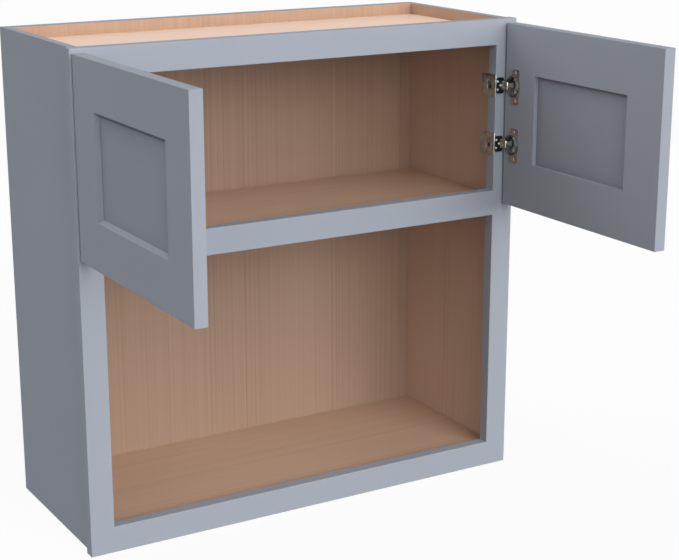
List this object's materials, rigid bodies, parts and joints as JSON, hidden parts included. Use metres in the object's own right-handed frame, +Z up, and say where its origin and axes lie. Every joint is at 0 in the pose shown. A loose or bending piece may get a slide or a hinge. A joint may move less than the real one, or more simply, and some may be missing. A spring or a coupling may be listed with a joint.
{
  "type": "microwave wall cabinet",
  "caption": "Framed kitchen wall cabinet in grey paint, with shaker doors on concealed hinges over an open microwave bay lined in maple veneer, hung on rails at its back.",
  "frame": {"origin": "bottom centre of the wall plane, on the back of the lower hanging rail", "axes": "+Y into the wall, so the front faces -Y; +X to the right seen from the front; +Z up"},
  "size_m": [0.762, 0.6819, 0.762],
  "materials": {
    "painted_wood": "satin grey paint",
    "painted_plywood": "satin grey paint outside, clear maple veneer inside",
    "maple_plywood": "clear satin maple veneer",
    "hanging_rail_wood": "bare wood",
    "nickel_steel": "nickel plate",
    "dark_steel": "black plate",
    "spring_steel": "bare spring steel",
    "zinc_screws": "zinc plate"
  },
  "bodies": {
    "cabinet": {"back_panel": "maple_plywood", "bottom_hanging_rail": "hanging_rail_wood", "bottom_panel": "maple_plywood", "fixed_shelf": "maple_plywood", "frame_bottom_rail": "painted_wood", "frame_left_stile": "painted_wood", "frame_middle_rail": "painted_wood", "frame_right_stile": "painted_wood", "frame_top_rail": "painted_wood", "hanging_rail_screws": "zinc_screws", "hinge_base_screws": "zinc_screws", "hinge_rivets": "zinc_screws", "left_lower_hinge_arm": "dark_steel", "left_lower_hinge_base": "nickel_steel", "left_side_panel": "painted_plywood", "left_upper_hinge_arm": "dark_steel", "left_upper_hinge_base": "nickel_steel", "right_lower_hinge_arm": "dark_steel", "right_lower_hinge_base": "nickel_steel", "right_side_panel": "painted_plywood", "right_upper_hinge_arm": "dark_steel", "right_upper_hinge_base": "nickel_steel", "top_hanging_rail": "hanging_rail_wood", "top_panel": "maple_plywood"},
    "left_door": {"left_door_bottom_rail": "painted_wood", "left_door_cup_screws": "zinc_screws", "left_door_free_stile": "painted_wood", "left_door_hinge_stile": "painted_wood", "left_door_panel": "painted_wood", "left_door_top_rail": "painted_wood", "left_lower_hinge_cup": "nickel_steel", "left_lower_hinge_pin": "nickel_steel", "left_lower_hinge_springs": "spring_steel", "left_upper_hinge_cup": "nickel_steel", "left_upper_hinge_pin": "nickel_steel", "left_upper_hinge_springs": "spring_steel"},
    "right_door": {"right_door_bottom_rail": "painted_wood", "right_door_cup_screws": "zinc_screws", "right_door_free_stile": "painted_wood", "right_door_hinge_stile": "painted_wood", "right_door_panel": "painted_wood", "right_door_top_rail": "painted_wood", "right_lower_hinge_cup": "nickel_steel", "right_lower_hinge_pin": "nickel_steel", "right_lower_hinge_springs": "spring_steel", "right_upper_hinge_cup": "nickel_steel", "right_upper_hinge_pin": "nickel_steel", "right_upper_hinge_springs": "spring_steel"}
  },
  "joints": [
    {"name": "left_door_swing", "type": "hinge", "parent": "cabinet", "child": "left_door", "pos_m": [-0.36765, -0.3158, 0.608], "axis": [0, 0, -1], "range_deg": [-90, 15]},
    {"name": "right_door_swing", "type": "hinge", "parent": "cabinet", "child": "right_door", "pos_m": [0.36765, -0.3158, 0.608], "axis": [0, 0, 1], "range_deg": [-90, 15]}
  ]
}
